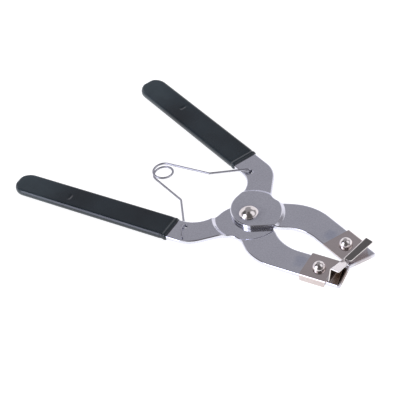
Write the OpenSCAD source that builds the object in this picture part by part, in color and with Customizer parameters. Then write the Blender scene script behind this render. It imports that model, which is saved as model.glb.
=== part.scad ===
// Piston-ring pliers: two stamped levers lie side by side on one rivet and don't cross, so closing
// the handles opens the jaws. A coiled wire spring spreads the handles and keeps the jaws shut.
// Frame: the origin is on the pivot's axis, at the underside of its rivet. X runs towards the jaws,
// Y towards the upper lever and Z up. The lower side is the upper side mirrored in Y.

/* [Levers] */
// Thickness of the levers' steel sheet
sheet_t = 2.3; // [2:0.1:2.5]
// Width of the handle arms
arm_w = 15; // [14:0.1:16]
// Distance from the pivot's axis to a handle's centre line
handle_off = 25.9; // [25:0.1:27]
// Angle between a handle and the X axis
handle_angle = 11.8; // [11:0.1:13]
// Distance along the handle from the pivot to the end of the steel tang
tang_len = 133; // [125:1:134]
// Width of the jaw arms
jaw_w = 16.2; // [16:0.1:16.5]
// Distance from the pivot's axis to a jaw's centre line
jaw_off = 23.1; // [23:0.1:23.5]
// Angle between a jaw and the X axis
jaw_angle = 12; // [11.5:0.1:12]
// How far a jaw's end is out of square
tip_skew = 7.5; // [5:0.5:9]
// How much narrower a handle is on each side at its end
handle_taper = 0.4; // [0:0.1:0.6]

/* [Pivot] */
// Gap between the two overlapping discs
disc_gap = 0.1; // [0.06:0.02:0.2]
// Radius at which a disc's top starts to step to its arms, for the lower and the upper lever
step_r = [19.6, 18.2]; // [18:0.1:19.8]
// Width of the sloping step
step_run = 1.7; // [1.5:0.1:1.8]
// Radius of the pivot rivet's shank
pivot_r = 4; // [3:0.25:4.5]
// Radial clearance of the upper lever on the shank
pivot_clear = 0.05; // [0.02:0.01:0.09]
// Radius and height of the pivot rivet's domed head
pivot_head = [5.5, 3.3]; // [2.5:0.1:6]
// Radius and height of the pivot rivet's flat tail
pivot_tail = [4.8, 1.2]; // [1:0.1:6]

/* [Grips] */
// Thickness of a grip's side wall
grip_wall = 0.7; // [0.6:0.1:1]
// Height of a grip
grip_h = 4.5; // [4.2:0.1:5]
// Radius of a grip's long edges
grip_round = 1.9; // [1:0.1:2]
// Where the lower grip's mouth and end are along the handle
lower_grip_at = [33.8, 137]; // [33:0.1:139]
// Where the upper grip's mouth and end are along the handle
upper_grip_at = [39, 135.4]; // [36:0.1:139]
// Where a grip's small pressed mark is along the handle
mark_at = 100.6; // [80:0.2:120]

/* [Ring guides] */
// Thickness of the guides' sheet
guide_t = 0.8; // [0.6:0.1:1]
// Where a guide's rivet is along the jaw
guide_at = 56.4; // [56:0.1:57]
// How far a guide's plate stands over the jaw's inner edge
guide_lip = 0.5; // [0:0.1:0.6]
// How far a guide's plate reaches behind and in front of its rivet
guide_reach = [7.9, 8.9]; // [7:0.1:9.5]
// Gap between the jaw's outer edge and the turned-down flange
flange_gap = 0.05; // [0.02:0.01:0.2]
// Height of the turned-down flange
flange_h = 4.4; // [3.5:0.1:4.6]
// Slope of the shelf, from the jaw's inner edge up to its outer edge
shelf_slope = 24.8; // [22:0.1:27]
// Width of the shelf at its low end and at its high end
shelf_w = [4.8, 5.7]; // [4.5:0.1:6]
// Radius of a guide rivet's shank
guide_pin_r = 2; // [1.5:0.25:2.5]
// Radius and height of a guide rivet's domed head
guide_head = [3.85, 3.8]; // [2:0.05:4.5]
// Radius and height of a guide rivet's flat tail
guide_tail = [3.2, 1]; // [0.8:0.1:4]

/* [Spring] */
// Radius of the spring wire
wire_r = 0.6; // [0.5:0.05:0.7]
// Place of the spring hole in a lever, for the upper side
hole_at = [-23, 27.5]; // [-26:0.1:30]
// Radius of the spring hole
hole_r = 1.5; // [1.3:0.1:1.7]
// Where the coil's axis stands behind the pivot
coil_x = -65.1; // [-67:0.1:-63]
// Mean radius of the coil
coil_r = 5.5; // [5:0.1:6]

/* [Hidden] */
$fn = 96;
chrome = "#9ea0aa";
nickel = "#8a8280";
pvc = "#2b3338";

// Height of the arms' middle plane
mid_z = pivot_tail[1] + sheet_t + disc_gap / 2;
step_h = (sheet_t + disc_gap) / 2;
guide_pin = 0.25;
guide_out = jaw_w / 2 + flange_gap + guide_t;
tang_r = 6.6;
big = 300;

// ---------------------------------------------------------------- outlines
function unit(v) = v / norm(v);
function dir(a) = [cos(a), sin(a)];
// A place on the upper handle or jaw: distance along it, and offset outwards from its centre line
function on_handle(s, side) = s * dir(180 - handle_angle) + (handle_off + side) * dir(90 - handle_angle);
function on_jaw(s, side) = s * dir(-jaw_angle) + (jaw_off + side) * dir(90 - jaw_angle);
// Where the line from p in direction a meets the line from q in direction b
function meet(p, a, q, b) =
    let (d = dir(a), e = dir(b), w = q - p)
    p + d * (w.x * e.y - w.y * e.x) / (d.x * e.y - d.y * e.x);
// The arc of radius r that rounds the corner at b, between a and c, as points
function corner(a, b, c, r, step = 6) =
    let (p = unit(a - b), q = unit(c - b), half = acos(p * q) / 2,
         mid = b + unit(p + q) * r / sin(half), from = unit(b + p * r / tan(half) - mid),
         turn = 180 - 2 * half, n = ceil(turn / step))
    [for (i = [0:n]) mid + r * (cos(turn * i / n) * from - sin(turn * i / n) * p)];
// A closed outline from its corners, each [place, radius]
function rounded(c) =
    let (n = len(c))
    [for (i = [0:n - 1]) each corner(c[(i + n - 1) % n][0], c[i][0], c[(i + 1) % n][0], c[i][1])];

// The upper lever's flat outline, round from the tang's outer corner to its inner corner
shoulder = [-9.4, 31.9];
shoulder_angle = -54.5;
waist_y = 17.2;
brow = [12, 19.4];
throat = [20, 1.5];
neck_x = -14.95;
disc_low = -8.9;
tip_in = meet([0, disc_gap / 2], 0, on_jaw(0, -jaw_w / 2), -jaw_angle);
function lever_corners() = [
    [on_handle(tang_len, arm_w / 2 - handle_taper), tang_r],
    [meet(on_handle(0, arm_w / 2), 180 - handle_angle, shoulder, shoulder_angle), 18],
    [meet(shoulder, shoulder_angle, [0, waist_y], 0), 8],
    [meet(brow, 31, [0, waist_y], 0), 5],
    [meet(brow, 31, on_jaw(0, jaw_w / 2), -jaw_angle), 33],
    [meet(tip_in, 90 - jaw_angle - tip_skew, on_jaw(0, jaw_w / 2), -jaw_angle), 1.3],
    [tip_in, 0.4],
    [meet(throat, 30, on_jaw(0, -jaw_w / 2), -jaw_angle), 26],
    [meet(throat, 30, [18, 0.2], 38), 10],
    [meet([18, 0.2], 38, [0, disc_low], 0), 9],
    [[neck_x, disc_low], 16.3],
    [meet([neck_x, 0], 90, on_handle(0, -arm_w / 2), -handle_angle), 16],
    [on_handle(tang_len, handle_taper - arm_w / 2), tang_r]];

// ---------------------------------------------------------------- levers
// The sheet turned about the pivot's axis: flat disc, sloping step and flat arms, stepped up
module stepped_sheet(r) {
    under = sheet_t * tan(atan(step_h / step_run) / 2);
    low = disc_gap / 2;
    rotate_extrude()
        polygon([[0, low], [0, low + sheet_t], [r, low + sheet_t],
                 [r + step_run, sheet_t / 2], [big, sheet_t / 2], [big, -sheet_t / 2],
                 [r + step_run - under, -sheet_t / 2], [r - under, low]]);
}

module hole(at, r) {
    translate([at.x, at.y, -big / 2])
        cylinder(h = big, r = r);
}

// A lever with its step going up, lying on the upper side, about the arms' middle plane
module lever(disc_r, bore_r) {
    difference() {
        intersection() {
            stepped_sheet(disc_r);
            translate([0, 0, -2 * sheet_t])
                linear_extrude(4 * sheet_t)
                    polygon(rounded(lever_corners()));
        }
        hole([0, 0], bore_r);
        hole(hole_at, hole_r);
        hole(on_jaw(guide_at, guide_pin), guide_pin_r);
    }
}

// Turns an upper piece into its lower one: half a turn about X, which also turns a step downwards
module to_lower() {
    rotate([180, 0, 0])
        children();
}

module at_mid() {
    translate([0, 0, mid_z])
        children();
}

module upper_lever() {
    color(chrome) at_mid() lever(step_r[1], pivot_r + pivot_clear);
}

module lower_lever() {
    color(chrome) at_mid() to_lower() lever(step_r[0], pivot_r);
}

// ---------------------------------------------------------------- grips
end_r = tang_r + 0.8;
mouth_r = 1.8;
mark = [3, 1.1, 0.35];
mark_side = 1.1;

// Lays a piece drawn along x, about y = 0, on the upper handle's centre line
module along_handle() {
    rotate(180 - handle_angle) translate([0, -handle_off, 0])
        children();
}

// The grip's flat outline and its rounded cross-section, each run through the other
module grip_body(from, to) {
    wide = arm_w / 2 + grip_wall;
    narrow = wide - handle_taper;
    high = grip_h / 2;
    intersection() {
        translate([0, 0, -high])
            linear_extrude(grip_h)
                polygon(rounded([[[from, wide], mouth_r], [[to, narrow], end_r],
                                 [[to, -narrow], end_r], [[from, -wide], mouth_r]]));
        rotate([90, 0, 90])
            linear_extrude(to + 1)
                polygon(rounded([[[-wide, -high], grip_round], [[wide, -high], grip_round],
                                 [[wide, high], grip_round], [[-wide, high], grip_round]]));
    }
}

// A closed-ended sleeve filled by the tang, with a small pressed mark in each face
module grip(at) {
    difference() {
        along_handle() difference() {
            grip_body(at[0], at[1]);
            for (s = [-1, 1])
                translate([mark_at - mark.x / 2, -mark_side - mark.y / 2, s * grip_h / 2 - mark.z])
                    cube([mark.x, mark.y, 2 * mark.z]);
        }
        translate([0, 0, -sheet_t / 2])
            linear_extrude(sheet_t)
                polygon(rounded(lever_corners()));
    }
}

module upper_grip() {
    color(pvc) at_mid() grip(upper_grip_at);
}

module lower_grip() {
    color(pvc) at_mid() to_lower() grip(lower_grip_at);
}

// ---------------------------------------------------------------- rivets
// A full, steep-sided domed head of the given [radius, height] standing on z = 0
fullness = 0.8;
module dome(head) {
    rotate_extrude()
        polygon([[0, 0], for (a = [0:7.5:90])
                 [head[0] * pow(cos(a), fullness), head[1] * pow(sin(a), fullness)]]);
}

// A flat tail of the given [radius, height] hanging from z = 0, with a chamfered rim
module tail(size) {
    cut = size[1] / 3;
    translate([0, 0, -size[1]])
        rotate_extrude()
            polygon([[0, 0], [size[0] - cut, 0], [size[0], cut], [size[0], size[1]], [0, size[1]]]);
}

module rivet(r, low, high, head, foot) {
    translate([0, 0, low])
        cylinder(h = high - low, r = r);
    translate([0, 0, high])
        dome(head);
    translate([0, 0, low])
        tail(foot);
}

module pivot_rivet() {
    reach = disc_gap / 2 + sheet_t;
    color(nickel) at_mid() rivet(pivot_r, -reach, reach + disc_gap / 2, pivot_head, pivot_tail);
}

module guide_rivet() {
    at = on_jaw(guide_at, guide_pin);
    translate([at.x, at.y, 0])
        rivet(guide_pin_r, -sheet_t / 2, sheet_t / 2 + guide_t, guide_head, guide_tail);
}

module upper_guide_rivet() {
    color(nickel) at_mid() guide_rivet();
}

module lower_guide_rivet() {
    color(nickel) at_mid() mirror([0, 1, 0]) guide_rivet();
}

// ---------------------------------------------------------------- ring guides
// The web's height over the plate at its low end, its lean, where its high end is and how much
// that end draws in
web_low = 2;
web_lean = 11;
web_end = 7.1;
web_draft = 1;
// The shelf's droop to its front, how far its low end is cut back at the front to clear the other
// guide's, and how far its high end stands forwards and outwards
shelf_droop = 4;
shelf_cut = 0.75;
shelf_lead = 1.35;
shelf_flare = 0.8;
// How far the plate and the shelf stand past the web's faces
guide_ease = 0.15;
// How far out of square the plate's back edge is, and the cut of the flange's front corner
plate_skew = 0.8;
flange_cut = [0.7, 2];

// A guide in its jaw's own frame: x along the jaw, y outwards, the arms' middle plane at z = 0
module guide() {
    top = sheet_t / 2 + guide_t;
    inner = -jaw_w / 2 - guide_lip;
    behind = guide_reach[0];
    ahead = guide_reach[1];
    run = web_end - web_draft - inner;
    foot = ahead + guide_t + guide_ease;
    difference() {
        translate([0, 0, sheet_t / 2])
            linear_extrude(guide_t)
                polygon([[-behind - plate_skew, inner], [foot, inner], [foot, web_end + guide_ease],
                         [ahead, web_end + guide_ease], [ahead, guide_out], [-behind, guide_out],
                         [-behind, guide_out - guide_t]]);
        hole([0, guide_pin], guide_pin_r);
    }
    translate([0, guide_out, 0])
        rotate([90, 0, 0])
            linear_extrude(guide_t)
                polygon([[-behind, top], [ahead - flange_cut[0], top],
                         [ahead - flange_cut[1], top - flange_h], [-behind, top - flange_h]]);
    translate([ahead, 0, top])
        rotate([0, web_lean, 0]) rotate([90, 0, 90])
            linear_extrude(guide_t)
                polygon([[inner, -guide_t / 2], [web_end, -guide_t / 2],
                         [web_end - web_draft, web_low + run * tan(shelf_slope) - guide_t / 2],
                         [inner, web_low - guide_t / 2]]);
    translate([ahead + web_low * tan(web_lean), inner, top + web_low])
        rotate([shelf_slope, 0, 0]) rotate([0, shelf_droop, 0])
            translate([0, 0, -guide_t])
                linear_extrude(guide_t)
                    polygon(shelf_outline(run / cos(shelf_slope)));
}

function shelf_outline(length) =
    rounded([[[-guide_ease, 0], 0.3], [[shelf_w[0], shelf_cut], 0.6],
             [[shelf_lead + shelf_w[1], length + shelf_flare], 0.8],
             [[shelf_lead - guide_ease, length], 0.3]]);

module on_jaw_frame() {
    at = on_jaw(guide_at, 0);
    translate([at.x, at.y, 0])
        rotate(-jaw_angle)
            children();
}

module upper_ring_guide() {
    color(nickel) at_mid() on_jaw_frame() guide();
}

module lower_ring_guide() {
    color(nickel) at_mid() mirror([0, 1, 0]) on_jaw_frame() guide();
}

// ---------------------------------------------------------------- spring
// Where each leg bends on its way to its hole, both given for the upper side
kink_upper = [-40.8, 12.6];
kink_lower = [-42.1, 10.3];
// How much higher each leg is at its hole than at the coil
rise_upper = 1;
rise_lower = 0.1;
// Where the wire goes through the hole, then where the hook bends and ends, from there
wire_at = hole_at - [0.5, 0];
hook_bend = [0.3, 2.6];
hook_end = [5.9, 7.9];
hook_lift = 1;
leg_z = sheet_t / 2 + wire_r + 0.05;
wire_bend = 1.1;
cut_gap = 0.05;
wire_sides = 10;
coil_step = 12;

// An open path with every inner corner rounded to radius r
function bent(p, r) =
    [p[0], for (i = [1:len(p) - 2]) each corner(p[i - 1], p[i], p[i + 1], r, 15), p[len(p) - 1]];
// The upper half of the wire: a hook under the arm, up through the hole, along the leg and round
// the coil to the middle of its turns, on the side next to the pivot
function half_wire(kink, rise) =
    let (c = [coil_x, 0], k = kink - c, foot = atan2(k.y, k.x) + acos(coil_r / norm(k)),
         turn = 360 - asin(cut_gap / coil_r) - foot, n = ceil(turn / coil_step))
    concat(
        bent([raise(wire_at + hook_end, -leg_z), raise(wire_at + hook_bend, -leg_z - hook_lift / 4),
              raise(wire_at, -leg_z - hook_lift), raise(wire_at, leg_z + rise),
              raise(kink, leg_z), raise(c + coil_r * dir(foot), leg_z)], wire_bend),
        [for (i = [1:n]) raise(c + coil_r * dir(foot + turn * i / n), leg_z * (1 - i / n))]);
function raise(p, z) = [p.x, p.y, z];

// Frames carried along a path without twist: [tangent, side] at each point
function tangent(p, i) = unit(p[min(i + 1, len(p) - 1)] - p[max(i - 1, 0)]);
function level(v, t) = unit(v - (v * t) * t);
module wire(path) {
    n = len(path);
    sides = [for (i = 0, s = level([0.3, 0.2, 1], tangent(path, 0)); i < n;
                  i = i + 1, s = i < n ? level(s, tangent(path, i)) : s) s];
    rings = [for (i = [0:n - 1], k = [0:wire_sides - 1])
             let (a = 360 * k / wire_sides, t = tangent(path, i))
             path[i] + wire_r * (cos(a) * sides[i] + sin(a) * cross(t, sides[i]))];
    skin = [for (i = [0:n - 2], k = [0:wire_sides - 1])
            let (m = (k + 1) % wire_sides)
            [i * wire_sides + k, i * wire_sides + m, (i + 1) * wire_sides + m, (i + 1) * wire_sides + k]];
    ends = [[for (k = [wire_sides - 1:-1:0]) k],
            [for (k = [0:wire_sides - 1]) (n - 1) * wire_sides + k]];
    polyhedron(points = rings, faces = concat(skin, ends), convexity = 6);
}

module spring_upper_half() {
    color(chrome) at_mid() wire(half_wire(kink_upper, rise_upper));
}

module spring_lower_half() {
    color(chrome) at_mid() to_lower() wire(half_wire(kink_lower, rise_lower));
}

lower_lever();
upper_lever();
lower_grip();
upper_grip();
pivot_rivet();
lower_ring_guide();
upper_ring_guide();
lower_guide_rivet();
upper_guide_rivet();
spring_lower_half();
spring_upper_half();
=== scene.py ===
"""Piston ring pliers: the looks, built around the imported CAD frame."""
import math

import bpy
import numpy as np
from mathutils import Matrix, Vector
from mathutils.geometry import delaunay_2d_cdt


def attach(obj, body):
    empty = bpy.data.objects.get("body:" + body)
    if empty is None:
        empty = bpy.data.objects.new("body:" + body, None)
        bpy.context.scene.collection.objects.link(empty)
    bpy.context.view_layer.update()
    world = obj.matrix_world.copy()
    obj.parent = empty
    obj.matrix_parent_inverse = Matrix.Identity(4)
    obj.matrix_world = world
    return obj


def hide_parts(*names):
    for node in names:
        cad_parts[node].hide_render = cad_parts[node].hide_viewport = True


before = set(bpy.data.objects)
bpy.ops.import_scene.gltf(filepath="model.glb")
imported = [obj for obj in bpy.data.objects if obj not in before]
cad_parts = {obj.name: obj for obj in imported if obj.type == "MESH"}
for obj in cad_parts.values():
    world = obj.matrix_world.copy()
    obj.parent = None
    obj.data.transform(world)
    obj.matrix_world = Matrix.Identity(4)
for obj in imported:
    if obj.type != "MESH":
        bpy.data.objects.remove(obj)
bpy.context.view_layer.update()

# Lengths are in millimetres until a mesh or a material is made. Pieces are drawn for the upper side, about
# the levers' mid height. The lower side's are the same ones turned half over about X or, where they keep
# their top up, mirrored.
MM = 0.001

# ---------------------------------------------------------------- sizes, as the CAD has them
# Levers. A handle or a jaw lies along a straight line: its distance from the pivot and its slope
SHEET = 2.3
DISC_GAP = 0.1
HANDLE_OFF, HANDLE_ANGLE = 25.9, 11.8
ARM_W, TAPER = 15.0, 0.4
TANG_LEN, TANG_R = 133.0, 6.6
JAW_OFF, JAW_ANGLE = 23.1, 12.0
JAW_W, TIP_SKEW = 16.2, 7.5
STEP_R, STEP_RUN = {"lower": 19.6, "upper": 18.2}, 1.7

# Rivets. Heads and tails are (radius, height)
PIVOT_R, PIVOT_CLEAR = 4.0, 0.05
PIVOT_HEAD, PIVOT_TAIL = (5.5, 3.3), (4.8, 1.2)
GUIDE_PIN_R = 2.0
GUIDE_HEAD, GUIDE_TAIL = (3.85, 3.8), (3.2, 1.0)

# Grips. Each is (mouth, end) along the handle
GRIP_AT = {"lower": (33.8, 137.0), "upper": (39.0, 135.4)}
GRIP_WALL, GRIP_H, GRIP_ROUND = 0.7, 4.5, 1.9
GRIP_END_R = TANG_R + 0.8
MARK_AT, MARK_SIDE = 100.6, 1.1

# Ring guides, in a frame at the guide's rivet: along the jaw, outwards across it, up
GUIDE_T, GUIDE_AT, GUIDE_PIN, GUIDE_LIP = 0.8, 56.4, 0.25, 0.5
GUIDE_BEHIND, GUIDE_AHEAD, PLATE_SKEW = 7.9, 8.9, 0.8
FLANGE_GAP, FLANGE_H, FLANGE_CUT = 0.05, 4.4, (0.7, 2.0)
WEB_LOW, WEB_LEAN, WEB_END, WEB_DRAFT = 2.0, 11.0, 7.1, 1.0
SHELF_SLOPE, SHELF_DROOP = 24.8, 4.0
SHELF_W, SHELF_CUT, SHELF_LEAD, SHELF_FLARE = (4.8, 5.7), 0.75, 1.35, 0.8

# Spring
WIRE_R = 0.6
HOLE_AT, HOLE_R = (-23.0, 27.5), 1.5
COIL_X, COIL_R = -65.1, 5.5
KINK = {"upper": (-40.8, 12.6), "lower": (-42.1, 10.3)}
RISE = {"upper": 1.0, "lower": 0.1}

# Worked out
MID_Z = PIVOT_TAIL[1] + SHEET + DISC_GAP / 2
GUIDE_TOP = SHEET / 2 + GUIDE_T
GUIDE_IN, GUIDE_OUT = -JAW_W / 2 - GUIDE_LIP, JAW_W / 2 + FLANGE_GAP + GUIDE_T

# ---------------------------------------------------------------- finishing sizes, finer than the CAD's
# The roll of a lever's edge, (width, depth): softer on the side that the die pressed
SOFT_ROLL, CRISP_ROLL, HOLE_ROLL = (1.05, 0.55), (0.3, 0.25), (0.2, 0.2)
STEP_EASE = 0.16            # share of the step's run that each of its bends takes on each side
MOUTH_ROUND, MOUTH_ROUND_AT_LEG = 0.5, 2.2
BEAD, WAIST, BEAD_ROOM = (0.18, 1.1, 0.75), (0.16, 2.9, 0.8), 0.12      # (height, place, half length)
LIP = (0.35, 0.5)                                                       # (depth, length)
DENT, RIDGE = (0.42, 0.0, 0.85, 1.9), (-0.03, -1.7, 0.9, 2.2)           # (depth, place, half sizes)
PLATE_BEND, FOOT_BEND, CREST_BEND, SHEET_EDGE = 0.95, 0.95, 0.35, 0.28
WIRE_BEND, WIRE_SIDES = 1.1, 20


# ---------------------------------------------------------------- plane geometry
def unit(v):
    v = np.asarray(v, float)
    return v / np.linalg.norm(v)


def heading(a):
    """The direction at a degrees from +X towards +Y."""
    return np.array([math.cos(math.radians(a)), math.sin(math.radians(a))])


def on_handle(s, side):
    """The point s along the handle's line and side outwards from it."""
    return s * heading(180 - HANDLE_ANGLE) + (HANDLE_OFF + side) * heading(90 - HANDLE_ANGLE)


def on_jaw(s, side):
    """The point s along the jaw's line and side outwards from it."""
    return s * heading(-JAW_ANGLE) + (JAW_OFF + side) * heading(90 - JAW_ANGLE)


def meet(p, a, q, b):
    """Where the line through p at a degrees crosses the line through q at b degrees."""
    p, d, e = np.asarray(p, float), heading(a), heading(b)
    w = np.asarray(q, float) - p
    return p + d * (w[0] * e[1] - w[1] * e[0]) / (d[0] * e[1] - d[1] * e[0])


def lerp(a, b, t):
    return np.asarray(a, float) * (1 - t) + np.asarray(b, float) * t


def corner(a, b, c, r, step=3.0):
    """The arc of radius r that rounds the corner at b, between a and c, in two or three dimensions."""
    a, b, c = (np.asarray(v, float) for v in (a, b, c))
    p, q = unit(a - b), unit(c - b)
    half = math.acos(max(-1.0, min(1.0, float(p @ q)))) / 2
    turn = math.pi - 2 * half
    if turn < 1e-4:
        return [b]
    mid = b + unit(p + q) * r / math.sin(half)
    start = unit(b + p * r / math.tan(half) - mid)
    n = max(1, math.ceil(math.degrees(turn) / step))
    return [mid + r * (math.cos(turn * i / n) * start - math.sin(turn * i / n) * p) for i in range(n + 1)]


def rounded(corners):
    """A closed outline from its corners, each (place, radius), running anticlockwise."""
    out = []
    for i, (b, r) in enumerate(corners):
        out += corner(corners[i - 1][0], b, corners[(i + 1) % len(corners)][0], r)
    out = np.array(out)
    x, y = out[:, 0], out[:, 1]
    if np.sum(x * np.roll(y, -1) - np.roll(x, -1) * y) < 0:
        out = out[::-1]
    return out


def resampled(loop, most):
    """The loop with extra points where its sides are longer than most."""
    out = []
    for a, b in zip(loop, np.roll(loop, -1, 0)):
        n = max(1, math.ceil(np.linalg.norm(b - a) / most))
        out += [a + (b - a) * i / n for i in range(n)]
    return np.array(out)


def circle(at, r, n=48):
    """A round hole, clockwise, so that its outward side is the hole."""
    return np.array([np.asarray(at) + r * heading(-360 * i / n) for i in range(n)])


# ---------------------------------------------------------------- meshes
def build(name, verts, faces, normals=None, smooth_under=None):
    """A mesh object in metres, with a normal for each vertex or smooth under an angle in degrees."""
    mesh = bpy.data.meshes.new(name)
    points = [tuple(float(c) * MM for c in v) for v in verts]
    mesh.from_pydata(points, [], [tuple(map(int, f)) for f in faces])
    mesh.validate()
    mesh.update()
    obj = bpy.data.objects.new(name, mesh)
    bpy.context.scene.collection.objects.link(obj)
    mesh.polygons.foreach_set("use_smooth", [True] * len(mesh.polygons))
    if normals is not None:
        mesh.normals_split_custom_set_from_vertices([tuple(map(float, n)) for n in normals])
    elif smooth_under is not None:
        mesh.set_sharp_from_angle(angle=math.radians(smooth_under))
    return obj


def placed(side, verts):
    """Points of the upper side lifted into place, or turned half over about X first for the lower side."""
    return turned(side, verts) + np.array([0, 0, MID_Z])


def turned(side, vectors):
    return vectors * np.array([1, -1, -1]) if side == "lower" else vectors


def loft(rings):
    """Points and faces of a closed tube over rings with the same count, each running the same way."""
    n = len(rings[0])
    verts = [p for ring in rings for p in ring]
    faces = []
    for i in range(len(rings) - 1):
        for k in range(n):
            m = (k + 1) % n
            faces.append((i * n + k, i * n + m, (i + 1) * n + m, (i + 1) * n + k))
    verts.append(np.mean(rings[0], 0))
    faces += [(len(verts) - 1, (k + 1) % n, k) for k in range(n)]
    verts.append(np.mean(rings[-1], 0))
    last = (len(rings) - 1) * n
    faces += [(len(verts) - 1, last + k, last + (k + 1) % n) for k in range(n)]
    return np.array(verts), faces


# ---------------------------------------------------------------- plates with rolled edges
ROLL_STEPS = [math.radians(a) for a in (15, 30, 45, 60, 75, 90)]
CLEAR_OF_EDGE = 0.04        # extra points nearer to an edge than this are left out
NO_AREA = 1e-3              # twice the area of a triangle that is only a sliver
BLOCK = 512                 # points measured at once


def loop_normals(loop):
    """The outward normal at each point of an anticlockwise outline."""
    side = np.roll(loop, -1, 0) - loop
    n = np.stack([side[:, 1], -side[:, 0]], 1)
    n /= np.linalg.norm(n, axis=1)[:, None]
    n = n + np.roll(n, 1, 0)
    return n / np.linalg.norm(n, axis=1)[:, None]


def twice_area(p, tri):
    """Twice the area of each triangle, above zero where it runs anticlockwise."""
    a, b, c = p[tri[:, 0]], p[tri[:, 1]], p[tri[:, 2]]
    return (b[:, 0] - a[:, 0]) * (c[:, 1] - a[:, 1]) - (b[:, 1] - a[:, 1]) * (c[:, 0] - a[:, 0])


class Rim:
    """One closed edge of a plate, with the roll of its edge: (width, depth)."""

    def __init__(self, loop, roll):
        self.loop, self.roll, self.normal = loop, roll, loop_normals(loop)

    def near(self, p):
        """Distance to this edge and the outward direction there, for each point of p."""
        a, b = self.loop, np.roll(self.loop, -1, 0)
        na, nb = self.normal, np.roll(self.normal, -1, 0)
        side = b - a
        span = np.maximum((side ** 2).sum(1), 1e-12)
        best, out = np.empty(len(p)), np.empty((len(p), 2))
        for k in range(0, len(p), BLOCK):
            q = p[k:k + BLOCK, None, :]
            t = np.clip(((q - a) * side).sum(2) / span, 0, 1)
            d = np.linalg.norm(q - (a + side * t[..., None]), axis=2)
            i = d.argmin(1)
            row = np.arange(len(i))
            best[k:k + BLOCK] = d[row, i]
            m = na[i] * (1 - t[row, i])[:, None] + nb[i] * t[row, i][:, None]
            out[k:k + BLOCK] = m / np.linalg.norm(m, axis=1)[:, None]
        return best, out

    def holds(self, p):
        """Whether each point of p is inside the closed line."""
        odd = np.zeros(len(p), bool)
        for (x0, y0), (x1, y1) in zip(self.loop, np.roll(self.loop, -1, 0)):
            if y0 != y1:
                cross = (p[:, 1] < y0) != (p[:, 1] < y1)
                odd ^= cross & (p[:, 0] < (x1 - x0) * (p[:, 1] - y0) / (y1 - y0) + x0)
        return odd


def on_plate(p, rims):
    """Whether each point of p is inside the outline and outside the holes."""
    on = rims[0].holds(p)
    for hole in rims[1:]:
        on &= ~hole.holds(p)
    return on


def clear_of(p, rims, gap):
    """Whether each point of p is on the plate and farther than gap from every edge."""
    clear = on_plate(p, rims)
    for rim in rims:
        clear &= rim.near(p)[0] > gap
    return clear


def enclosed(p, tri, rims, kept):
    """Which triangles lie on the plate: they are grouped by crossing every edge but the rims'."""
    walls = {frozenset(e) for ids in kept for e in zip(ids, ids[1:] + ids[:1])}
    sides = {}
    for i, t in enumerate(tri.tolist()):
        for e in (frozenset(t[:2]), frozenset(t[1:]), frozenset(t[::2])):
            if e not in walls:
                sides.setdefault(e, []).append(i)
    beside = [[] for _ in tri]
    for pair in sides.values():
        if len(pair) == 2:
            beside[pair[0]].append(pair[1])
            beside[pair[1]].append(pair[0])
    size = np.abs(twice_area(p, tri))
    on = on_plate((p[tri[:, 0]] + p[tri[:, 1]] + p[tri[:, 2]]) / 3, rims)
    group, result = np.full(len(tri), -1), np.zeros(len(tri), bool)
    for seed in np.argsort(-size):
        if group[seed] >= 0:
            continue
        group[seed] = seed
        front = [seed]
        while front:
            for k in beside[front.pop()]:
                if group[k] < 0:
                    group[k] = seed
                    front.append(k)
        result[group == seed] = on[seed] and size[seed] > NO_AREA
    return result


def cap(rims, height, rings, up):
    """One face of a plate: its points, triangles and normals, and where each rim's points went.
    height(p) gives the flat face's height and its slope at each point, and rings are lines of extra points.
    up is 1 for a top and -1 for an underside."""
    pts, edges = [], []

    def add(line, closed, fine):
        ids = []
        for q, ok in zip(line, fine):
            ids.append(len(pts) if ok else None)
            if ok:
                pts.append(Vector((float(q[0]), float(q[1]))))
        pairs = zip(ids, ids[1:] + ids[:1]) if closed else zip(ids, ids[1:])
        edges.extend((i, j) for i, j in pairs if i is not None and j is not None)
        return ids

    kept = [add(rim.loop, True, [True] * len(rim.loop)) for rim in rims]
    for rim in rims:
        for f in ROLL_STEPS:
            inset = rim.roll[0] * (1 - math.cos(f))
            line = rim.loop - rim.normal * inset
            add(line, True, clear_of(line, rims, inset * 0.98 - 0.001))
    for line in rings:
        add(line, False, clear_of(line, rims, CLEAR_OF_EDGE))
    v, _, tri, source, _, _ = delaunay_2d_cdt(pts, edges, [], 0, 1e-5)
    where = {old: i for i, olds in enumerate(source) for old in olds}
    kept = [[where[i] for i in ids] for ids in kept]
    p = np.array([tuple(q) for q in v])
    tri = np.array([t for t in tri if len(t) == 3])
    tri = tri[enclosed(p, tri, rims, kept)]
    wrong = (twice_area(p, tri) > 0) != (up > 0)
    tri[wrong] = tri[wrong][:, ::-1]

    # each edge rolls over along a quarter of an ellipse
    z, gx, gy = height(p)
    drop, lean, level = np.zeros(len(p)), np.zeros((len(p), 2)), np.ones(len(p))
    for rim in rims:
        d, out = rim.near(p)
        w, h = rim.roll
        f = np.arccos(np.clip(1 - d / w, 0, 1))
        mine = h * (1 - np.sin(f))
        take = (d < w) & (mine >= drop)
        drop = np.where(take, mine, drop)
        lean[take] = out[take] * (h * np.cos(f))[take, None]
        level = np.where(take, w * np.sin(f), level)
    n = np.stack([lean[:, 0] - up * gx * level, lean[:, 1] - up * gy * level, up * level], 1)
    n /= np.linalg.norm(n, axis=1)[:, None]
    return np.column_stack([p, z - up * drop]), tri, n, kept


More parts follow.
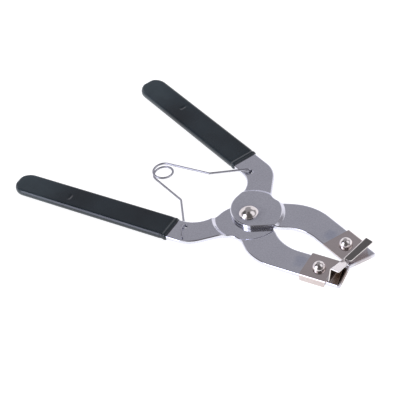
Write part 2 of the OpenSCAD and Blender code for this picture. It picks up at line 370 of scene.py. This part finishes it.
def plate(rims, under_rims, top, under):
    """Points, faces and normals of a closed plate. The first rim is the outline and the rest are holes.
    top and under are each a face's height function and its lines of extra points."""
    upper, lower = cap(rims, *top, 1), cap(under_rims, *under, -1)
    start = len(upper[0])
    faces = [tuple(t) for t in upper[1]] + [tuple(t + start) for t in lower[1]]
    for above, below in zip(upper[3], lower[3]):
        for i in range(len(above)):
            m = (i + 1) % len(above)
            faces.append((above[i], below[i] + start, below[m] + start, above[m]))
    return np.vstack([upper[0], lower[0]]), faces, np.vstack([upper[2], lower[2]])


# ---------------------------------------------------------------- levers
def lever_outline():
    """The upper lever from above. Each side is a line, (point, heading), and each corner has its radius."""
    handle_out = (on_handle(0, ARM_W / 2), 180 - HANDLE_ANGLE)
    handle_in = (on_handle(0, -ARM_W / 2), -HANDLE_ANGLE)
    jaw_out = (on_jaw(0, JAW_W / 2), -JAW_ANGLE)
    jaw_in = (on_jaw(0, -JAW_W / 2), -JAW_ANGLE)
    shoulder = ((-9.4, 31.9), -54.5)
    waist = ((0, 17.2), 0)
    brow = ((12, 19.4), 31)
    throat = ((20, 1.5), 30)
    chin = ((18, 0.2), 38)
    disc_low = ((0, -8.9), 0)
    disc_back = ((-14.95, 0), 90)
    nose = meet((0, DISC_GAP / 2), 0, *jaw_in)
    return resampled(rounded([
        (on_handle(TANG_LEN, ARM_W / 2 - TAPER), TANG_R),
        (meet(*handle_out, *shoulder), 18),
        (meet(*shoulder, *waist), 8),
        (meet(*brow, *waist), 5),
        (meet(*brow, *jaw_out), 33),
        (meet(nose, 90 - JAW_ANGLE - TIP_SKEW, *jaw_out), 1.3),
        (nose, 0.4),
        (meet(*throat, *jaw_in), 26),
        (meet(*throat, *chin), 10),
        (meet(*chin, *disc_low), 9),
        (meet(*disc_low, *disc_back), 16.3),
        (meet(*disc_back, *handle_in), 16),
        (on_handle(TANG_LEN, TAPER - ARM_W / 2), TANG_R)]), 3.0)


def step_face(r0, high, fall):
    """The height function of a face that falls from high by a sloping step that starts at radius r0, and the
    circles that its mesh needs there. The slope is straight, with a parabolic bend at each end."""
    ease = STEP_EASE

    def height(p):
        r = np.hypot(p[:, 0], p[:, 1])
        t = (r - r0) / STEP_RUN
        s = np.where(t < -ease, 0.0, np.where(t < ease, (t + ease) ** 2 / (4 * ease), t))
        ds = np.where(t < -ease, 0.0, np.where(t < ease, (t + ease) / (2 * ease), 1.0))
        foot, past = t > 1 - ease, t > 1 + ease
        s = np.where(foot, 1 - np.where(past, 0.0, (1 + ease - t) ** 2 / (4 * ease)), s)
        ds = np.where(foot, np.where(past, 0.0, (1 + ease - t) / (2 * ease)), ds)
        slope = -fall * ds / STEP_RUN
        r = np.maximum(r, 1e-6)
        return high - fall * s, slope * p[:, 0] / r, slope * p[:, 1] / r

    rings = []
    for t in (-ease, -ease / 3, ease / 3, ease, 1 - ease, 1 - ease / 3, 1 + ease / 3, 1 + ease):
        rings.append(np.array([(r0 + t * STEP_RUN) * heading(a) for a in np.arange(0, 360.1, 3)]))
    return height, rings


def make_lever(side):
    fall = (SHEET + DISC_GAP) / 2
    # the underside's step starts nearer in, so that the sheet keeps its thickness down the slope
    shift = SHEET * math.tan(math.atan(fall / STEP_RUN) / 2)
    top = step_face(STEP_R[side], DISC_GAP / 2 + SHEET, fall)
    under = step_face(STEP_R[side] - shift, DISC_GAP / 2, fall)
    bore = PIVOT_R + (PIVOT_CLEAR if side == "upper" else 0)
    # the softly rolled face looks up on both levers, so the lower one's is its drawn underside
    above, below = (SOFT_ROLL, CRISP_ROLL) if side == "upper" else (CRISP_ROLL, SOFT_ROLL)
    outline = lever_outline()
    holes = [Rim(circle(at, r), HOLE_ROLL) for at, r in (((0, 0), bore), (HOLE_AT, HOLE_R),
                                                         (on_jaw(GUIDE_AT, GUIDE_PIN), GUIDE_PIN_R))]
    verts, faces, normals = plate([Rim(outline, above)] + holes, [Rim(outline, below)] + holes, top, under)
    return build(f"{side}_lever_plate", placed(side, verts), faces, turned(side, normals))


# ---------------------------------------------------------------- grips
def hump(x, at, half, power=2):
    """A smooth hump of height 1 about at."""
    return np.exp(-((x - at) / half) ** power)


def half_near_end(s, end, half, r):
    """Half the width at s of a shape that ends at end with corners of radius r."""
    left = end - s
    if left >= r:
        return half
    return half - r + math.sqrt(max(0.0, r * r - (r - left) ** 2))


def section(wide, high, r):
    """A rounded rectangle by its half sizes, anticlockwise, with points along its two long flats."""
    r = min(r, wide * 0.999, high * 0.999)
    arc = [math.radians(a) for a in range(0, 91, 10)]
    corners = []
    for sx, sy, flip in ((1, 1, False), (-1, 1, True), (-1, -1, False), (1, -1, True)):
        pts = [(sx * (wide - r + r * math.cos(a)), sy * (high - r + r * math.sin(a))) for a in arc]
        corners.append(pts[::-1] if flip else pts)
    flat = np.linspace(1, -1, 26)[1:-1] * (wide - r)
    upper = corners[0] + [(x, high) for x in flat] + corners[1]
    lower = corners[2] + [(-x, -high) for x in flat] + corners[3]
    return np.array(upper + lower)


def grip_stations(mouth, end):
    """Where the sleeve's rings lie along the handle: close together at the mouth, the mark and the end."""
    at_mouth = [0, 0.05, 0.15, 0.3, 0.5, 0.8, 1.1, 1.4, 1.7, 2.0, 2.3, 2.6, 3, 3.5, 4.2, 5.5, 7.5, 10]
    stations = [mouth + s for s in at_mouth] + list(np.arange(mouth + 14, MARK_AT - 5, 4))
    stations += list(np.arange(MARK_AT - 4, MARK_AT + 4.01, 0.4))
    stations += list(np.arange(MARK_AT + 7, end - 9, 4))
    return stations + [end - 8 * (1 - math.sin(math.radians(a))) for a in range(0, 90, 5)]


def grip_ring(side, s):
    """One ring of the sleeve's outside, at s along the handle."""
    mouth, end = GRIP_AT[side]
    d = s - mouth
    wide = ARM_W / 2 + GRIP_WALL
    w = wide - TAPER * d / (end - mouth)
    if end - s < GRIP_END_R:
        w = min(w, wide - TAPER)
    w, h = half_near_end(s, end, w, GRIP_END_R), half_near_end(s, end, GRIP_H / 2, GRIP_ROUND)
    # the bead at the mouth, the shallow waist behind it and the soft lip
    bead = BEAD[0] * hump(d, *BEAD[1:]) - WAIST[0] * hump(d, *WAIST[1:])
    lip = LIP[0] * (1 - math.sqrt(max(0.0, 1 - (1 - min(1, d / LIP[1])) ** 2)))
    w, h = w + bead / 2 - lip, h + bead - BEAD_ROOM - lip
    ring = section(w, h, GRIP_ROUND)
    # the mouth's corners are rounded, more so beside the spring's leg on the lower side
    for sign, r in ((-1, MOUTH_ROUND), (1, MOUTH_ROUND if side == "upper" else MOUTH_ROUND_AT_LEG)):
        if d < r:
            half = ring[:, 0] * sign > 0
            ring[half, 0] *= 1 - (r - math.sqrt(r * r - (r - d) ** 2)) / w
    pts = np.column_stack([np.full(len(ring), s), ring])
    # the pressed mark on both flats, with the ridge that it pushes up
    if abs(s - MARK_AT) < 4:
        on_flat = np.abs(pts[:, 2]) > h - 0.01
        mark = sum(depth * hump(s, MARK_AT + shift, long) * hump(pts[:, 1], -MARK_SIDE, broad, 4)
                   for depth, shift, long, broad in (DENT, RIDGE))
        pts[:, 2] -= np.sign(pts[:, 2]) * mark * on_flat
    return pts


def pocket_rings(mouth):
    """The pocket that the tang fills, from its bottom out to the mouth."""
    rings, ease = [], 0.02
    stations = [TANG_LEN - 0.2, *np.linspace(TANG_LEN - 1.5, TANG_LEN - TANG_R, 5), mouth + 2, mouth]
    for s in stations:
        taper = TAPER * (s - mouth) / (TANG_LEN - mouth)
        w = half_near_end(s, TANG_LEN, ARM_W / 2 - taper, TANG_R) + ease
        ring = section(w, SHEET / 2 + ease, 0.25)
        rings.append(np.column_stack([np.full(len(ring), s), ring]))
    return rings


def make_grip(side):
    mouth, end = GRIP_AT[side]
    verts, faces = loft(pocket_rings(mouth) + [grip_ring(side, s) for s in grip_stations(mouth, end)])
    # drawn along X about y = 0 with x away from the pivot, then laid on the upper handle
    c, s = heading(180 - HANDLE_ANGLE)
    verts = (verts - np.array([0, HANDLE_OFF, 0])) @ np.array([[c, s, 0], [-s, c, 0], [0, 0, 1]])
    return build(f"{side}_grip_sleeve", placed(side, verts), faces, smooth_under=50)


# ---------------------------------------------------------------- rivets
def make_rivet(name, at, low, high, r, head, tail):
    """A shank of radius r with a full domed head and a flat, set tail. low and high are where they sit."""
    (head_r, head_h), (tail_r, tail_h) = head, tail
    sides, axis = 72, 0.02
    cut, foot = tail_h / 3, low - tail_h
    # the tail is chamfered by its cut, and every edge is eased by a tenth or so
    profile = [(axis, foot), (tail_r - cut - 0.15, foot), (tail_r - cut, foot + 0.03),
               (tail_r - 0.08, foot + cut), (tail_r, foot + cut + 0.15), (tail_r, low - 0.1),
               (tail_r - 0.1, low), (r, low), (r, high), (head_r - 0.1, high), (head_r - 0.02, high + 0.06)]
    # a low, rounded rim under a spherical cap
    rim = head_h * 0.13
    rise = head_h - rim
    ball = (head_r ** 2 + rise ** 2) / (2 * rise)
    lean = math.asin(head_r / ball)
    profile += [(head_r, high + rim * 0.45), (head_r - 0.015, high + rim * 0.8)]
    steps = 22
    for k in range(1, steps + 1):
        a = lean * (1 - k / steps)
        profile.append((max(axis, ball * math.sin(a) * 0.992), high + head_h - ball * (1 - math.cos(a))))
    turns = [heading(360 * k / sides) for k in range(sides)]
    verts, faces = loft([np.array([(*(turn * q), z) for turn in turns]) for q, z in profile])
    return build(name, verts + np.array([*at, MID_Z]), faces, smooth_under=42)


# ---------------------------------------------------------------- ring guides
def jaw_place(p):
    """From a guide's own frame to the tool's, for the upper side."""
    c, s = heading(-JAW_ANGLE)
    x, y = on_jaw(GUIDE_AT, 0)
    return (x + p[0] * c - p[1] * s, y + p[0] * s + p[1] * c, p[2] + MID_Z)


def bent_sheet(name, side, grid, face, rest):
    """A bent sheet from a grid of points on one of its faces, thickened behind it, with softened edges.
    face is that face's material, and rest is the material of everything else."""
    rows, cols = len(grid), len(grid[0])
    verts = np.array([jaw_place(p) for line in grid for p in line])
    faces = [(i * cols + k, i * cols + k + 1, (i + 1) * cols + k + 1, (i + 1) * cols + k)
             for i in range(rows - 1) for k in range(cols - 1)]
    if side == "lower":
        verts = verts * np.array([1, -1, 1])
        faces = [f[::-1] for f in faces]
    obj = build(name, verts, faces)
    obj.data.materials.append(face)
    obj.data.materials.append(rest)
    solid = obj.modifiers.new("thickness", "SOLIDIFY")
    solid.material_offset = solid.material_offset_rim = 1
    solid.thickness, solid.offset = GUIDE_T * MM, -1.0
    solid.use_even_offset = True
    bevel = obj.modifiers.new("edges", "BEVEL")
    bevel.width, bevel.segments = SHEET_EDGE * MM, 3
    bevel.limit_method, bevel.angle_limit = "ANGLE", math.radians(38)
    bevel.harden_normals = True
    baked = bpy.data.meshes.new_from_object(obj.evaluated_get(bpy.context.evaluated_depsgraph_get()))
    obj.modifiers.clear()
    obj.data = baked
    return obj


def make_guide_plate(side):
    """The plate and the flange: a profile across the jaw, bent down over its outer edge."""
    bend_at = GUIDE_OUT - PLATE_BEND
    profile = [(GUIDE_IN + (bend_at - GUIDE_IN) * k / 14, GUIDE_TOP) for k in range(14)]
    for a in range(0, 91, 10):
        across, up = PLATE_BEND * heading(90 - a)
        profile.append((bend_at + across, GUIDE_TOP - PLATE_BEND + up))
    profile += [(GUIDE_OUT, z) for z in np.linspace(GUIDE_TOP - PLATE_BEND - 0.4, GUIDE_TOP - FLANGE_H, 6)]
    grid = []
    for y, z in profile:
        down = max(0.0, (GUIDE_TOP - z) / FLANGE_H)
        back = -GUIDE_BEHIND - PLATE_SKEW * max(0.0, 1 - (y - GUIDE_IN) / (bend_at - GUIDE_IN))
        front = GUIDE_AHEAD - (0.3 if y < WEB_END else 0.0)
        if down > 0:
            front = GUIDE_AHEAD - lerp(*FLANGE_CUT, down)
        grid.append([(back + (front - back) * k / 6, y, z) for k in range(7)])
    return bent_sheet(f"{side}_guide_plate", side, [line[::-1] for line in zip(*grid)], shaded_plate_nickel, shaded_plate_nickel)


def make_guide_shelf(side, inside):
    """The web and the sloping shelf, drawn on the face that looks forward and down."""
    slope, web_run = math.radians(SHELF_SLOPE), WEB_LOW * math.tan(math.radians(WEB_LEAN))
    length = (WEB_END - WEB_DRAFT - GUIDE_IN) / math.cos(slope)
    droop_c, droop_s = heading(SHELF_DROOP)

    def shelf(x, y, z=-GUIDE_T):
        """A point of the shelf from its own plane: droop about y, then slope about x, then in place."""
        x, z = x * droop_c + z * droop_s, z * droop_c - x * droop_s
        return np.array([x + GUIDE_AHEAD + web_run,
                         y * math.cos(slope) - z * math.sin(slope) + GUIDE_IN,
                         y * math.sin(slope) + z * math.cos(slope) + GUIDE_TOP + WEB_LOW])

    rows, count, heel_run, sink = [], 18, 1.6, 0.012
    blunt = {0: 0.4, count: 0.55}
    for k in range(count + 1):
        t = k / count
        heel = np.array([GUIDE_AHEAD - heel_run, lerp(GUIDE_IN, WEB_END, t), SHEET / 2 + sink])
        foot = heel + np.array([heel_run + GUIDE_T, 0, 0])
        crest = shelf(SHELF_LEAD * t + 0.7, length * t)
        front = shelf(lerp(SHELF_W[0], SHELF_LEAD + SHELF_W[1], t) - blunt.get(k, 0.0),
                      lerp(SHELF_CUT, length + SHELF_FLARE, t) - (0.25 if k == count else 0))
        line = [heel] + corner(heel, foot, crest, FOOT_BEND, 12)
        line += corner(foot, crest, front, CREST_BEND, 12)
        rows.append(line + [lerp(line[-1], front, u) for u in (0.25, 0.5, 0.75, 1.0)])
    return bent_sheet(f"{side}_guide_shelf", side, list(zip(*rows)), inside, bright_nickel)


# ---------------------------------------------------------------- spring
def wire_path(side):
    """Half of the wire: its hook, the hole, the leg and the coil to the middle of its turns, and how many
    points that is. The path then runs a little farther, to be drawn thinner inside the other half's end."""
    hole = np.array(HOLE_AT) - np.array([0.5, 0])
    leg = SHEET / 2 + WIRE_R + 0.05
    kink, coil = np.array(KINK[side]), np.array([COIL_X, 0.0])
    k = kink - coil
    foot = math.atan2(k[1], k[0]) + math.acos(COIL_R / np.linalg.norm(k))
    turn, overlap = 2 * math.pi - foot, 0.22

    def on_coil(a, z):
        return np.array([*(coil + COIL_R * np.array([math.cos(a), math.sin(a)])), z])

    lay = [(*(hole + (5.9, 7.9)), -leg), (*(hole + (0.3, 2.6)), -leg - 0.25), (*hole, -leg - 1),
           (*hole, leg + RISE[side]), (*kink, leg), on_coil(foot, leg)]
    lay = [np.array(p, float) for p in lay]
    path = [lay[0]]
    for before, at, after in zip(lay, lay[1:], lay[2:]):
        path += corner(before, at, after, WIRE_BEND, 7)
    path.append(lay[-1])
    n, extra = 66, 5
    path += [on_coil(foot + turn * i / n, leg * (1 - i / n)) for i in range(1, n + 1)]
    body = len(path)
    path += [on_coil(foot + turn + overlap * i / extra, -leg * overlap * i / extra / turn)
             for i in range(1, extra + 1)]
    return path, body


def make_spring(side):
    path, body = wire_path(side)
    rings, ref = [], np.array([0.3, 0.2, 1.0])
    for i, p in enumerate(path):
        t = unit(path[min(i + 1, len(path) - 1)] - path[max(i - 1, 0)])
        ref = unit(ref - (ref @ t) * t)
        other = np.cross(t, ref)
        r = WIRE_R if i < body else WIRE_R - 0.03
        ring = [p + r * (math.cos(a) * ref + math.sin(a) * other)
                for a in (2 * math.pi * k / WIRE_SIDES for k in range(WIRE_SIDES))]
        if i == 0:      # a softly rounded cut end
            for back, share in ((0.0, 0.72), (0.06, 0.9), (0.16, 1.0)):
                rings.append(np.array([p + t * back + (q - p) * share for q in ring]))
        else:
            rings.append(np.array(ring))
    verts, faces = loft(rings)
    return build(f"{side}_spring_wire", placed(side, verts), faces, smooth_under=60)


# ---------------------------------------------------------------- materials
class Nodes:
    """Short calls for a node tree."""

    def __init__(self, tree):
        self.tree = tree
        tree.nodes.clear()

    def add(self, kind, **values):
        """A new node. A value whose name starts with _ is an input's, and the others are the node's own."""
        n = self.tree.nodes.new(kind)
        for key, v in values.items():
            if key.startswith("_"):
                n.inputs[key[1:].replace("_", " ")].default_value = v
            else:
                setattr(n, key, v)
        return n

    def feed(self, target, value):
        """Links a socket to an input, or sets the input to a plain value."""
        if isinstance(value, bpy.types.NodeSocket):
            self.tree.links.new(value, target)
        else:
            target.default_value = value

    def ramp(self, value, stops):
        n = self.add("ShaderNodeValToRGB")
        self.feed(n.inputs["Fac"], value)
        while len(n.color_ramp.elements) < len(stops):
            n.color_ramp.elements.new(0.5)
        for e, (at, c) in zip(n.color_ramp.elements, stops):
            e.position, e.color = at, (*(c if hasattr(c, "__len__") else (c, c, c)), 1)
        return n.outputs["Color"]

    def noise(self, vector, scale, detail, roughness):
        n = self.add("ShaderNodeTexNoise", _Scale=scale, _Detail=detail, _Roughness=roughness)
        self.feed(n.inputs["Vector"], vector)
        return n.outputs["Fac"]

    def stretched(self, vector, scale):
        n = self.add("ShaderNodeMapping", _Scale=scale)
        self.feed(n.inputs["Vector"], vector)
        return n.outputs["Vector"]

    def split(self, vector):
        n = self.add("ShaderNodeSeparateXYZ")
        self.feed(n.inputs[0], vector)
        return n.outputs

    def fade(self, value, start, stop, high=1.0):
        """high where value is at start, nothing from stop on, soft between."""
        n = self.add("ShaderNodeMapRange", interpolation_type="SMOOTHSTEP")
        self.feed(n.inputs["Value"], value)
        for key, v in (("From Min", start), ("From Max", stop), ("To Min", high), ("To Max", 0.0)):
            self.feed(n.inputs[key], v)
        return n.outputs["Result"]

    def mix(self, mask, a, b, blend="MIX"):
        """Colours a and b, mixed by a mask."""
        n = self.add("ShaderNodeMix", data_type="RGBA", blend_type=blend)
        self.feed(n.inputs[0], mask)
        for value, k in ((a, 6), (b, 7)):
            self.feed(n.inputs[k], value if isinstance(value, bpy.types.NodeSocket) else (*value, 1))
        return n.outputs[2]

    def math(self, operation, *values):
        n = self.add("ShaderNodeMath", operation=operation)
        for k, value in enumerate(values):
            self.feed(n.inputs[k], value)
        return n.outputs[0]

    def measure(self, operation, vector, other):
        """A number worked out from two vectors."""
        n = self.add("ShaderNodeVectorMath", operation=operation)
        self.feed(n.inputs[0], vector)
        self.feed(n.inputs[1], other)
        return n.outputs["Value"]

    def relief(self, bsdf, height, strength, depth):
        n = self.add("ShaderNodeBump", _Strength=strength, _Distance=depth)
        self.feed(n.inputs["Height"], height)
        self.feed(bsdf.inputs["Normal"], n.outputs["Normal"])


def material(name):
    """A new material, its nodes, its surface shader and the socket of its object coordinates."""
    m = bpy.data.materials.new(name)
    m.use_nodes = True
    t = Nodes(m.node_tree)
    out = t.add("ShaderNodeOutputMaterial")
    bsdf = t.add("ShaderNodeBsdfPrincipled")
    t.feed(out.inputs["Surface"], bsdf.outputs["BSDF"])
    return m, t, bsdf, t.add("ShaderNodeTexCoord").outputs["Object"]


def plated_metal(name, light, dark, rough, bump, edge, grain, dark_patches=()):
    """Bright plate over steel: a faint cloud and grain in its colour, brushing in its gloss, a fine orange
    peel, reflections dimmed to edge at grazing angles, and dark patches multiplied into its colour: (place,
    size, colour, strength)."""
    m, t, bsdf, where = material(name)
    bsdf.inputs["Metallic"].default_value = 1.0
    bsdf.inputs["Specular Tint"].default_value = (edge, edge, edge * 1.05, 1)
    colour = t.ramp(t.noise(where, 55, 4, 0.6), [(0.3, dark), (0.7, light)])
    speck = t.ramp(t.noise(where, 1100, 2, 0.6), [(0.3, 1 - grain), (0.7, 1.0)])
    colour = t.mix(1.0, colour, speck, "MULTIPLY")
    for at, size, tone, strength in dark_patches:
        wobble = t.math("MULTIPLY_ADD", t.noise(where, 240, 4, 0.65), size, size * -0.5)
        near = t.math("ADD", t.measure("DISTANCE", where, at), wobble)
        colour = t.mix(t.fade(near, size * 0.3, size, strength), colour, tone, "MULTIPLY")
    t.feed(bsdf.inputs["Base Color"], colour)
    brushed = t.noise(t.stretched(where, (1, 14, 14)), 420, 5, 0.7)
    t.feed(bsdf.inputs["Roughness"], t.ramp(brushed, [(0.3, rough * 0.75), (0.7, rough * 1.3)]))
    t.relief(bsdf, t.noise(where, 900, 3, 0.6), bump, 0.00002)
    return m


def vinyl(name):
    """Dipped vinyl: near black drifting to teal, paler towards the handle's end, with a faint peel."""
    m, t, bsdf, where = material(name)
    stops = [(0.32, (0.006, 0.012, 0.017)), (0.75, (0.022, 0.038, 0.048))]
    deep = t.ramp(t.noise(where, 28, 3, 0.55), stops)
    along = t.math("MULTIPLY_ADD", t.noise(where, 45, 4, 0.6), 0.05, t.split(where)["X"])
    # the colour turns paler and more teal towards the handles' ends
    paler_to_end = t.fade(along, -0.125, -0.06)     # from the handles' ends towards the pivot, in metres
    t.feed(bsdf.inputs["Base Color"], t.mix(paler_to_end, deep, (0.050, 0.076, 0.088)))
    t.feed(bsdf.inputs["Roughness"], t.ramp(t.noise(where, 70, 4, 0.6), [(0.3, 0.16), (0.7, 0.27)]))
    bsdf.inputs["Specular IOR Level"].default_value = 0.6
    peel = t.math("MULTIPLY_ADD", t.noise(where, 650, 3, 0.6), 0.25, t.noise(where, 90, 2, 0.5))
    t.relief(bsdf, peel, 0.3, 0.0001)
    return m


def in_metres(at, side="upper"):
    """A place in the levers' plane, given for the upper side, in metres on the side asked for."""
    return (float(at[0]) * MM, float(at[1]) * (MM if side == "upper" else -MM), MID_Z * MM)


def lever_chrome(side):
    """Blue-white chrome with painted shade and a painted brown reflection of the web in front of the guide's
    web, a darker, bluer patch behind the guide, and painted shade round the pivot rivet and round the
    spring's hole.
    """
    # the colour, for each side, of the painted shade and the web's painted reflection in front of the
    # guide's web
    web_shade = {"lower": (0.42, 0.34, 0.28), "upper": (0.74, 0.69, 0.66)}[side]
    # painted shade and a painted brown reflection of the web, under the guide's shelf in front of its web
    dark_patches = [(in_metres(on_jaw(GUIDE_AT + GUIDE_AHEAD + 5.5, 0), side), 0.0085, web_shade, 1.0),
               # a darker, bluer patch on the jaw just behind the guide
               (in_metres(on_jaw(GUIDE_AT - 12, -1), side), 0.006, (0.74, 0.78, 0.86), 0.65),
               # painted shade round the pivot rivet
               (in_metres((0.8, -0.8)), 0.0105, (0.72, 0.72, 0.74), 0.7),
               # painted shade and a painted reflection of the wire round the spring's hole
               (in_metres(HOLE_AT, side), 0.0024, (0.12, 0.12, 0.14), 1.0)]
    return plated_metal(f"{side}_chrome", (0.845, 0.85, 0.915), (0.80, 0.805, 0.87),
                        rough=0.12, bump=0.45, edge=0.9, grain=0.1, dark_patches=dark_patches)


def guide_inside(side):
    """The shaded inside of a guide's web and shelf."""
    tone = np.array({"lower": (0.42, 0.35, 0.30), "upper": (0.56, 0.51, 0.49)}[side])
    return plated_metal(f"{side}_guide_inside", tone, tone * 0.8, rough=0.2, bump=0.3, edge=0.8, grain=0.1)


polished_nickel = plated_metal("polished_nickel", (0.90, 0.85, 0.83), (0.84, 0.79, 0.77),
                               rough=0.075, bump=0.1, edge=0.5, grain=0.05)
# a darker copy of the guide's nickel for its plate and flange: painted shade
shaded_plate_nickel = plated_metal("guide_plate_shaded_nickel", (0.73, 0.65, 0.63), (0.66, 0.585, 0.565),
                     rough=0.11, bump=0.1, edge=0.6, grain=0.02)
bright_nickel = plated_metal("bright_nickel", (0.88, 0.84, 0.82), (0.82, 0.78, 0.76),
                             rough=0.09, bump=0.1, edge=0.8, grain=0.02)
spring_steel = plated_metal("spring_wire", (0.56, 0.56, 0.61), (0.46, 0.46, 0.51),
                            rough=0.34, bump=0.1, edge=0.15, grain=0.05,
                            # painted shade on the wire where it goes through the upper lever's spring hole
                            dark_patches=[(in_metres(HOLE_AT), 0.0026, (0.25, 0.25, 0.28), 1.0)])
grip_vinyl = vinyl("dipped_vinyl")


# ---------------------------------------------------------------- pieces
def finish_piece(obj, body, slot, mat, *nodes):
    """Gives a piece its material, unless it has its own, and its body, and hides the CAD parts that it
    replaces. slot is not used.
    """
    if mat is not None:
        obj.data.materials.append(mat)
    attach(obj, body)
    if nodes:
        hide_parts(*nodes)


for side in ("lower", "upper"):
    body = f"{side}_side"
    finish_piece(make_lever(side), body, "lever_chrome", lever_chrome(side), f"{side}_lever")
    finish_piece(make_grip(side), body, "grip_vinyl", grip_vinyl, f"{side}_grip")
    finish_piece(make_guide_plate(side), body, "guide_steel", None, f"{side}_ring_guide")
    finish_piece(make_guide_shelf(side, guide_inside(side)), body, "guide_steel", None)
    pin_x, pin_y = on_jaw(GUIDE_AT, GUIDE_PIN)
    rivet = make_rivet(f"{side}_guide_rivet_dome", (pin_x, pin_y if side == "upper" else -pin_y),
                       -SHEET / 2, GUIDE_TOP, GUIDE_PIN_R, GUIDE_HEAD, GUIDE_TAIL)
    finish_piece(rivet, body, "rivet_nickel", polished_nickel, f"{side}_guide_rivet")
    finish_piece(make_spring(side), f"spring_{side}", "spring_wire", spring_steel, f"spring_{side}_half")

reach = DISC_GAP / 2 + SHEET
pivot = make_rivet("pivot_rivet_dome", (0, 0), -reach, reach + DISC_GAP / 2,
                   PIVOT_R, PIVOT_HEAD, PIVOT_TAIL)
finish_piece(pivot, "lower_side", "rivet_nickel", polished_nickel, "pivot_rivet")


# ---------------------------------------------------------------- floor, light and camera, in metres
def make_floor(half=6.0, low=-0.0002):
    """A pale floor that glows a little, so that it stays white under the dim light."""
    mesh = bpy.data.meshes.new("studio_floor")
    square = [(-half, -half, 0), (half, -half, 0), (half, half, 0), (-half, half, 0)]
    mesh.from_pydata(square, [], [(0, 1, 2, 3)])
    floor = bpy.data.objects.new("studio_floor", mesh)
    bpy.context.scene.collection.objects.link(floor)
    floor.location.z = low
    white, _, bsdf, _ = material("white_floor")
    bsdf.inputs["Base Color"].default_value = (0.5, 0.5, 0.5, 1)
    bsdf.inputs["Roughness"].default_value = 0.9
    bsdf.inputs["Emission Color"].default_value = (1, 1, 1, 1)
    bsdf.inputs["Emission Strength"].default_value = 0.86
    mesh.materials.append(white)


# A pale cove low down, under a dim ceiling that takes over between two elevations, in degrees
COVE, CEILING, COVE_TOP = (1.0, 0.98, 1.05), (0.30, 0.29, 0.31), (12, 30)

# Soft-edged round panels: (azimuth, elevation, radius where full, radius where gone, colour), in degrees
PANELS = [(172, 20, 16, 26, (0.95, 0.93, 0.98)),
          (103, 30, 12, 20, (0.9, 0.88, 0.93)),
          (138, 41, 13, 22, (0.35, 0.345, 0.375)),
          (32, 54, 14, 28, (0.95, 0.94, 1.0)),
          (-41, 10, 24, 44, (0.13, 0.123, 0.128)),
          (-41, 52, 22, 34, (0.11, 0.103, 0.106)),
          (-41, 84, 9, 16, (0.12, 0.11, 0.115)),
          (-152, 50, 12, 20, (0.11, 0.108, 0.114)),
          (-102, 41, 16, 20, (1.15, 1.15, 1.2)),
          (-115, 42, 8, 13, (3.4, 3.45, 4.2)),
          (-110, 27, 8, 13, (3.4, 3.45, 4.2)),
          (-106, 12, 8, 13, (3.4, 3.45, 4.2))]


def direction(azimuth, elevation):
    """A direction by its angle from +X towards +Y and its height above the horizon, in degrees."""
    a, e = math.radians(azimuth), math.radians(elevation)
    return Vector((math.cos(a) * math.cos(e), math.sin(a) * math.cos(e), math.sin(e)))


def make_world():
    world = bpy.data.worlds.new("studio")
    bpy.context.scene.world = world
    world.use_nodes = True
    w = Nodes(world.node_tree)
    out, sky = w.add("ShaderNodeOutputWorld"), w.add("ShaderNodeBackground")
    w.feed(out.inputs["Surface"], sky.outputs["Background"])
    look = w.add("ShaderNodeTexCoord").outputs["Generated"]
    cove = w.fade(w.split(look)["Z"], *(math.sin(math.radians(e)) for e in COVE_TOP))
    colour = w.mix(cove, CEILING, COVE)
    for azimuth, elevation, full, gone, tone in PANELS:
        toward = w.measure("DOT_PRODUCT", look, direction(azimuth, elevation))
        colour = w.mix(w.fade(toward, *(math.cos(math.radians(r)) for r in (full, gone))), colour, tone)
    w.feed(sky.inputs["Color"], colour)
    sky.inputs["Strength"].default_value = 1.0


def make_camera(azimuth, elevation, roll, distance, target):
    """A long lens that looks at target. azimuth is from -Y towards +X, and roll is anticlockwise."""
    data = bpy.data.cameras.new("photo_camera")
    data.lens, data.sensor_width = 216.0, 36.0
    data.clip_start, data.clip_end = 0.05, 50
    camera = bpy.data.objects.new("photo_camera", data)
    bpy.context.scene.collection.objects.link(camera)
    back = direction(azimuth - 90, elevation)
    level_right = direction(azimuth, 0)
    level_up = back.cross(level_right)
    c, s = math.cos(math.radians(roll)), math.sin(math.radians(roll))
    right, up = level_right * c + level_up * s, level_up * c - level_right * s
    place = Vector(target) + back * distance
    camera.matrix_world = Matrix.Translation(place) @ Matrix((right, up, back)).transposed().to_4x4()
    return camera


make_floor()
make_world()
bpy.context.scene.camera = make_camera(azimuth=48.6, elevation=40.97, roll=-9.54, distance=1.317,
                                       target=(-0.0232, -0.0131, 0.0133))
bpy.context.scene.view_settings.view_transform = "Standard"
